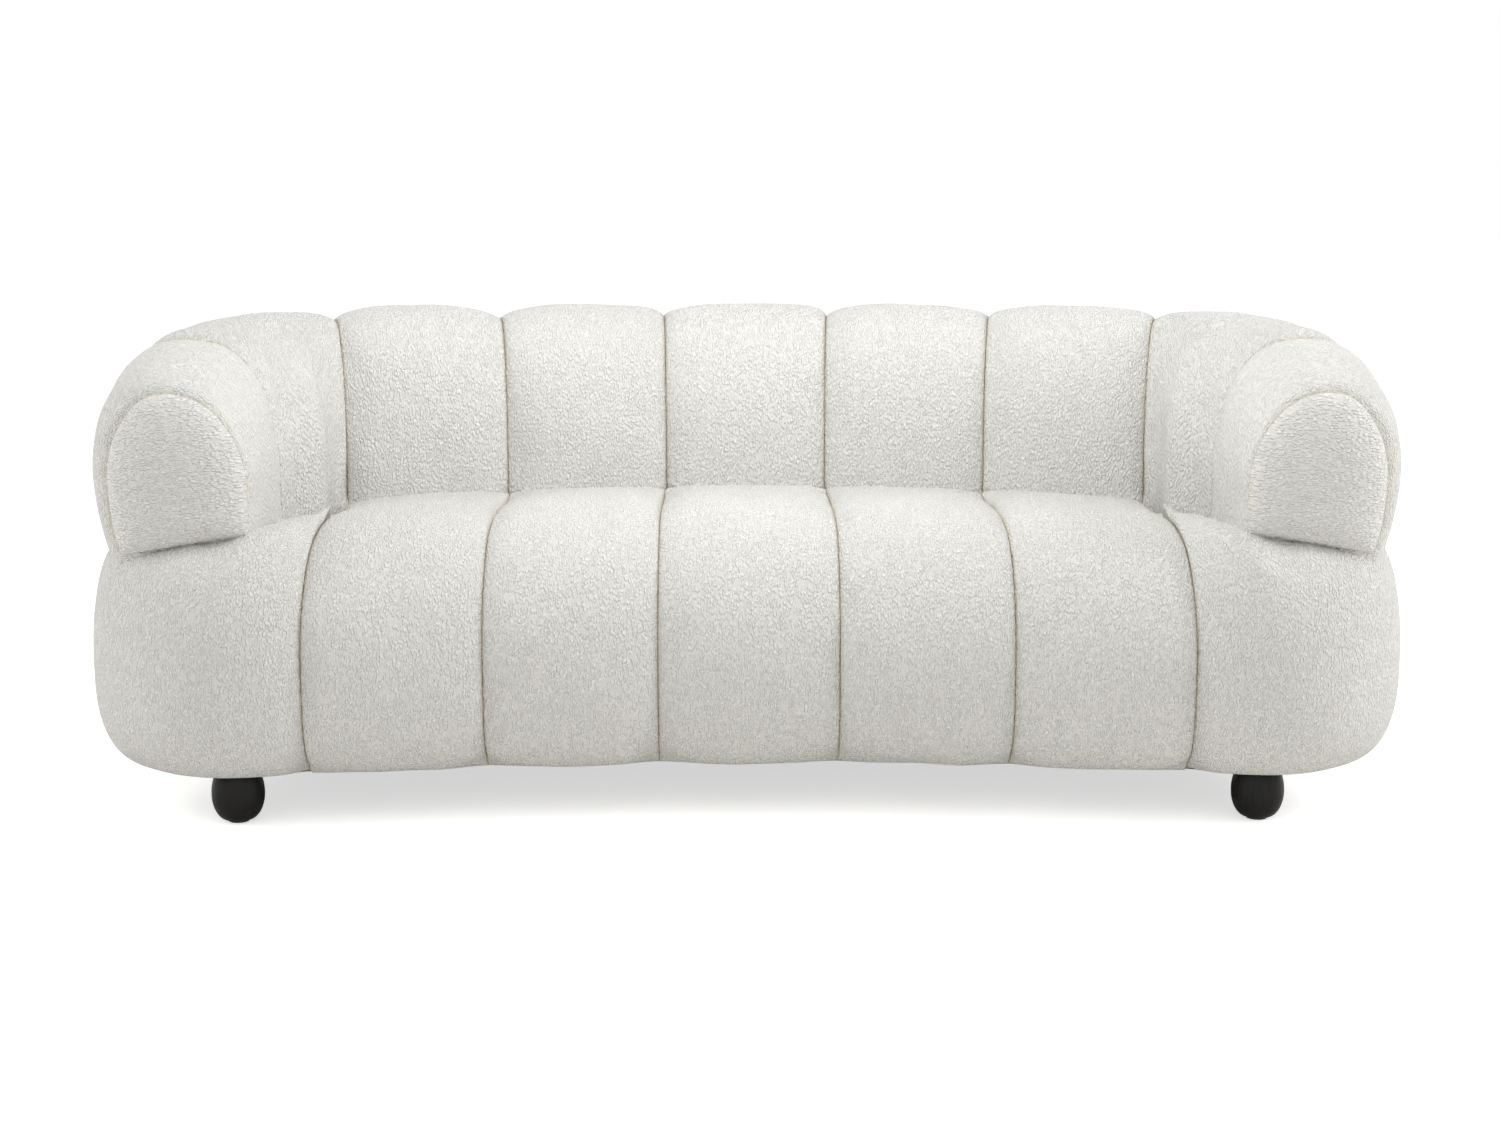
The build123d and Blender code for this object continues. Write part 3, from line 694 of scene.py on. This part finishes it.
def boucle():
    """Looped white-cream cloth: short crinkled ridges, with painted shade, darker and warmer, in the
    hollows between loops and in the creases along the seams, dotted like stitches there.
    """
    material, nodes, links, shader = nodes_of("boucle")
    tree = material.node_tree
    grain = nodes.new("ShaderNodeAttribute")
    grain.attribute_name = "grain"
    seam = nodes.new("ShaderNodeAttribute")
    seam.attribute_name = "seam"

    wander = node(tree, "ShaderNodeTexNoise", Scale=330.0, Detail=1.0)
    links.new(grain.outputs["Vector"], wander.inputs["Vector"])
    shift = nodes.new("ShaderNodeVectorMath")
    shift.operation = "MULTIPLY_ADD"
    links.new(wander.outputs["Color"], shift.inputs[0])
    shift.inputs[1].default_value = LOOP_WANDER
    links.new(grain.outputs["Vector"], shift.inputs[2])
    stretch = nodes.new("ShaderNodeVectorMath")
    stretch.operation = "MULTIPLY"
    stretch.inputs[1].default_value = LOOPS
    links.new(shift.outputs["Vector"], stretch.inputs[0])

    loops = nodes.new("ShaderNodeTexVoronoi")
    loops.feature = "SMOOTH_F1"
    loops.inputs["Scale"].default_value = 1.0
    loops.inputs["Smoothness"].default_value = 0.35
    loops.inputs["Randomness"].default_value = 0.95
    links.new(stretch.outputs["Vector"], loops.inputs["Vector"])
    ridge = nodes.new("ShaderNodeMapRange")
    ridge.interpolation_type = "SMOOTHSTEP"
    ridge.inputs["From Min"].default_value = 0.72
    ridge.inputs["From Max"].default_value = 0.12
    links.new(loops.outputs["Distance"], ridge.inputs["Value"])

    fibre = node(tree, "ShaderNodeTexNoise", Scale=850.0, Detail=3.0)
    links.new(grain.outputs["Vector"], fibre.inputs["Vector"])
    height = nodes.new("ShaderNodeMath")
    height.operation = "MULTIPLY_ADD"
    links.new(fibre.outputs["Fac"], height.inputs[0])
    height.inputs[1].default_value = FIBRE_SHARE
    links.new(ridge.outputs["Result"], height.inputs[2])
    bump = node(tree, "ShaderNodeBump", Strength=1.0, Distance=LOOP_RELIEF)
    links.new(height.outputs["Value"], bump.inputs["Height"])
    links.new(bump.outputs["Normal"], shader.inputs["Normal"])

    # Painted shade: the hollows between the loops get the darker tone and the ridges the lighter one
    tone = nodes.new("ShaderNodeValToRGB")
    tone.color_ramp.elements[0].position = 0.0
    tone.color_ramp.elements[0].color = HOLLOW_SHADE_TONE
    tone.color_ramp.elements[1].position = 0.70
    tone.color_ramp.elements[1].color = RIDGE_TONE
    links.new(ridge.outputs["Result"], tone.inputs["Fac"])
    # Dotted stitches along the seams, times nearness to a seam: real stitches, and also painted warm shade
    # of the creases
    along = nodes.new("ShaderNodeSeparateXYZ")
    links.new(grain.outputs["Vector"], along.inputs["Vector"])
    beat = nodes.new("ShaderNodeMath")
    beat.operation = "PINGPONG"
    links.new(along.outputs["Y"], beat.inputs[0])
    beat.inputs[1].default_value = STITCH_LENGTH
    stitch = nodes.new("ShaderNodeMapRange")
    stitch.inputs["From Max"].default_value = STITCH_LENGTH
    stitch.inputs["To Min"].default_value = 0.35
    links.new(beat.outputs["Value"], stitch.inputs["Value"])
    stitch_and_crease_shade = nodes.new("ShaderNodeMath")
    stitch_and_crease_shade.operation = "MULTIPLY"
    links.new(stitch.outputs["Result"], stitch_and_crease_shade.inputs[0])
    links.new(seam.outputs["Fac"], stitch_and_crease_shade.inputs[1])
    # Painted shade: the seam creases are darkened and warmed in the colour, with the stitch dots
    warm = nodes.new("ShaderNodeMix")
    warm.data_type = "RGBA"
    warm.blend_type = "MULTIPLY"
    links.new(stitch_and_crease_shade.outputs["Value"], warm.inputs["Factor"])
    links.new(tone.outputs["Color"], warm.inputs["A"])
    warm.inputs["B"].default_value = STITCH_AND_CREASE_SHADE_TONE
    links.new(warm.outputs["Result"], shader.inputs["Base Color"])
    shader.inputs["Roughness"].default_value = 0.95
    shader.inputs["Specular IOR Level"].default_value = 0.15
    shader.inputs["Sheen Weight"].default_value = 0.12
    shader.inputs["Sheen Roughness"].default_value = 0.6
    shader.inputs["Sheen Tint"].default_value = (1.0, 0.98, 0.95, 1)
    return material


def noisy(name, dark, light, scale, roughness, depth, **extra):
    """Plain material with a fine grain: two tones, a varied gloss and a slight relief.

    scale is the grain's cells per metre in x, y and z, roughness is its range, and depth is in metres.
    """
    material, nodes, links, shader = nodes_of(name)
    tree = material.node_tree
    place = nodes.new("ShaderNodeTexCoord")
    stretch = nodes.new("ShaderNodeVectorMath")
    stretch.operation = "MULTIPLY"
    stretch.inputs[1].default_value = scale
    links.new(place.outputs["Object"], stretch.inputs[0])
    grain = node(tree, "ShaderNodeTexNoise", Scale=1.0, Detail=4.0, Roughness=0.6)
    links.new(stretch.outputs["Vector"], grain.inputs["Vector"])
    tone = nodes.new("ShaderNodeValToRGB")
    tone.color_ramp.elements[0].position = 0.3
    tone.color_ramp.elements[0].color = (*dark, 1)
    tone.color_ramp.elements[1].position = 0.7
    tone.color_ramp.elements[1].color = (*light, 1)
    links.new(grain.outputs["Fac"], tone.inputs["Fac"])
    links.new(tone.outputs["Color"], shader.inputs["Base Color"])
    gloss = nodes.new("ShaderNodeMapRange")
    gloss.inputs["To Min"].default_value = roughness[0]
    gloss.inputs["To Max"].default_value = roughness[1]
    links.new(grain.outputs["Fac"], gloss.inputs["Value"])
    links.new(gloss.outputs["Result"], shader.inputs["Roughness"])
    bump = node(tree, "ShaderNodeBump", Strength=0.5, Distance=depth)
    links.new(grain.outputs["Fac"], bump.inputs["Height"])
    links.new(bump.outputs["Normal"], shader.inputs["Normal"])
    for key, value in extra.items():
        shader.inputs[key.replace("_", " ")].default_value = value
    return material


def ball_foot(name, x, y):
    """Turned ball foot between its glide and the dust cover."""
    low = arc((FOOT_FLOOR, FOOT_BELLY), FOOT_RADIUS - FOOT_FLOOR, FOOT_BELLY - GLIDE, 270, 360, 2.0, 26)
    rise = np.linspace(0, 1, 18)[1:]
    neck = FOOT_RADIUS - (FOOT_RADIUS - FOOT_TOP) * rise**FOOT_SHOULDER
    high = np.column_stack([neck, FOOT_BELLY + (FOOT_HEAD - FOOT_BELLY) * rise])
    profile = np.vstack([[[AXIS_ROOM, GLIDE]], low, high, [[AXIS_ROOM, FOOT_HEAD]]])
    turns = np.linspace(0, 2 * math.pi, FOOT_SIDES, endpoint=False)
    rings = []
    for r, z in profile:
        around = (x + r * np.cos(turns), y + r * np.sin(turns), np.full(FOOT_SIDES, z))
        rings.append(np.column_stack(around))
    rows = np.array(rings)
    return piece_from(name, rows, np.zeros_like(rows), np.zeros(rows.shape[:2]))


def white_floor():
    """Floor that looks white to the camera and keeps the sofa's soft shadow."""
    bpy.ops.mesh.primitive_plane_add(size=40, location=(0, 0, 0))
    floor = bpy.context.object
    floor.name = "floor"
    material, nodes, links, shader = nodes_of("floor_white")
    shader.inputs["Base Color"].default_value = (0.93, 0.915, 0.875, 1)
    shader.inputs["Roughness"].default_value = 0.9
    shader.inputs["Emission Color"].default_value = (1, 1, 1, 1)
    path = nodes.new("ShaderNodeLightPath")
    glow = nodes.new("ShaderNodeMath")
    glow.operation = "MULTIPLY"
    links.new(path.outputs["Is Camera Ray"], glow.inputs[0])
    glow.inputs[1].default_value = FLOOR_GLOW
    links.new(glow.outputs["Value"], shader.inputs["Emission Strength"])
    floor.data.materials.append(material)


def camera_and_light():
    """Camera at the photograph's angle, a white background and soft studio light."""
    scene = bpy.context.scene
    data = bpy.data.cameras.new("camera")
    data.sensor_width = 36
    data.lens = FOCAL / IMAGE_WIDTH * data.sensor_width
    camera = bpy.data.objects.new("camera", data)
    camera.location = CAMERA_PLACE
    camera.rotation_euler = (math.radians(90 - CAMERA_TILT), 0, math.radians(-CAMERA_TURN))
    scene.collection.objects.link(camera)
    scene.camera = camera

    world = bpy.data.worlds.new("studio")
    scene.world = world
    world.use_nodes = True
    nodes, links = world.node_tree.nodes, world.node_tree.links
    background = nodes["Background"]
    background.inputs["Color"].default_value = (1, 1, 1, 1)
    path = nodes.new("ShaderNodeLightPath")
    seen = nodes.new("ShaderNodeMath")
    seen.operation = "MAXIMUM"
    links.new(path.outputs["Is Glossy Ray"], seen.inputs[0])
    links.new(path.outputs["Is Transmission Ray"], seen.inputs[1])
    white = nodes.new("ShaderNodeMath")
    white.operation = "MAXIMUM"
    links.new(path.outputs["Is Camera Ray"], white.inputs[0])
    links.new(seen.outputs["Value"], white.inputs[1])
    strength = nodes.new("ShaderNodeMapRange")
    strength.inputs["To Min"].default_value = SURROUNDINGS
    strength.inputs["To Max"].default_value = 1.0
    links.new(white.outputs["Value"], strength.inputs["Value"])
    links.new(strength.outputs["Result"], background.inputs["Strength"])

    for name, (place, aim, width, depth, energy) in LAMPS.items():
        lamp = bpy.data.lights.new(name, "AREA")
        lamp.shape = "RECTANGLE"
        lamp.size = width
        lamp.size_y = depth
        lamp.energy = energy
        holder = bpy.data.objects.new(name, lamp)
        holder.location = place
        holder.rotation_euler = (Vector(aim) - Vector(place)).to_track_quat("-Z", "Y").to_euler()
        holder.visible_camera = False
        scene.collection.objects.link(holder)
    scene.view_settings.view_transform = "Standard"


fabric = boucle()


def keep(piece, *nodes):
    """Give a padded piece its cloth and its body, and hide the solids that it stands for."""
    piece.data.materials.append(fabric)
    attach(piece, "root")
    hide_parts(*nodes)


def pair(piece, name, *nodes):
    """Keep a right-hand piece and its left-hand twin."""
    twin = mirrored(piece, f"{name}_pad_left")
    keep(piece, *[f"{node}_right" for node in nodes])
    keep(twin, *[f"{node}_left" for node in nodes])


# Padded pieces: the middle ones and the right-hand ones, which get their twins after settling
edges = [-x for x in reversed(SEAT_SEAMS)] + list(SEAT_SEAMS)
fold = along_roll(FOLD_Y)
seats = [seat_piece(f"seat_pad_{i + 1}", *ends) for i, ends in enumerate(zip(edges, edges[1:]))]
backs, bases = [], []
for i in range(PANELS):
    start = PANEL * (i - PANELS / 2)
    backs.append(roll_piece(f"back_pad_{i + 1}", start, start + PANEL))
    bases.append(base_piece(f"base_rear_pad_{i + 1}", start, start + PANEL, BASE_REACH, BASE_TOP))
corner = roll_piece("corner_pad_right", BACK_HALF, fold, CORNER_EDGE, FOLD_EDGE)
base_corner = base_piece("base_corner_pad_right", BACK_HALF, fold, BASE_CORNER_REACH, BASE_CORNER_TOP)
arm = arm_piece("arm_pad_right")
cap = cap_piece("arm_cap_pad_right")
seat_end = end_piece("seat_end_pad_right")
settle([*seats, *backs, *bases, corner, base_corner, arm, cap, seat_end])

for kind, pieces in (("seat", seats), ("back", backs), ("base_rear", bases)):
    for i, piece in enumerate(pieces):
        foam = [f"{kind}_foam"] if i == PANELS // 2 else []
        keep(piece, f"{kind}_cover_{i + 1}", *foam)
pair(corner, "corner", "corner_cover", "corner_foam")
pair(base_corner, "base_corner", "base_corner_cover", "base_corner_foam")
pair(arm, "arm", "arm_cover", "arm_foam")
pair(cap, "arm_cap", "arm_cap")
pair(seat_end, "seat_end", "seat_end_cover", "seat_end_foam")

# Finishes of the solids that stay, and of the feet
wood = noisy("plywood", (0.42, 0.29, 0.17), (0.62, 0.47, 0.30), (9, 60, 420), (0.6, 0.8), 0.0006)
steel = noisy("steel", (0.42, 0.42, 0.43), (0.58, 0.58, 0.59), (900, 60, 900), (0.28, 0.45), 0.0001,
              Metallic=1.0)
felt = noisy("felt", (0.30, 0.29, 0.27), (0.46, 0.45, 0.42), (700, 700, 700), (0.9, 1.0), 0.0012)
cloth = noisy("dust_cloth", (0.020, 0.020, 0.021), (0.045, 0.045, 0.047), (420, 420, 420), (0.8, 0.95),
              0.0008)
glide_felt = noisy("glide_felt", (0.10, 0.09, 0.08), (0.20, 0.18, 0.16), (800, 800, 800), (0.9, 1.0),
                   0.0010)
lacquer = noisy("black_lacquer", (0.006, 0.006, 0.006), (0.013, 0.012, 0.012), (160, 160, 22), (0.30, 0.42),
                0.0003, Specular_IOR_Level=0.22)
finishes = {
    "front_rail": wood, "back_rail": wood, "end_rails": wood, "corner_rails": wood, "cross_rails": wood,
    "back_posts": wood, "arm_posts": wood, "back_top_rail": wood, "corner_top_rails": wood,
    "arm_top_rails": wood, "back_board": wood, "foot_blocks": wood, "seat_springs": steel,
    "spring_clips": steel, "foot_studs": steel, "foot_inserts": steel, "spring_insulator": felt,
    "dust_cover": cloth, "foot_glides": glide_felt,
}
for name, material in finishes.items():
    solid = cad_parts[name].data
    solid.materials.clear()
    solid.materials.append(material)

# Feet
rear_face = BOW_CENTRE_Y + math.sqrt((BACK_BOW + RAIL_HALF) ** 2 - REAR_FOOT_X**2)
for side, sign in (("left", -1), ("right", 1)):
    for end, x, y in (("front", FRONT_FOOT_X, frame_front(FRONT_FOOT_X) + FOOT_SETBACK),
                      ("rear", REAR_FOOT_X, rear_face - FOOT_SETBACK)):
        foot = ball_foot(f"ball_foot_{end}_{side}", sign * x, y)
        foot.data.materials.append(lacquer)
        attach(foot, "root")
        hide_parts(f"foot_{end}_{side}")

# Stage
white_floor()
camera_and_light()
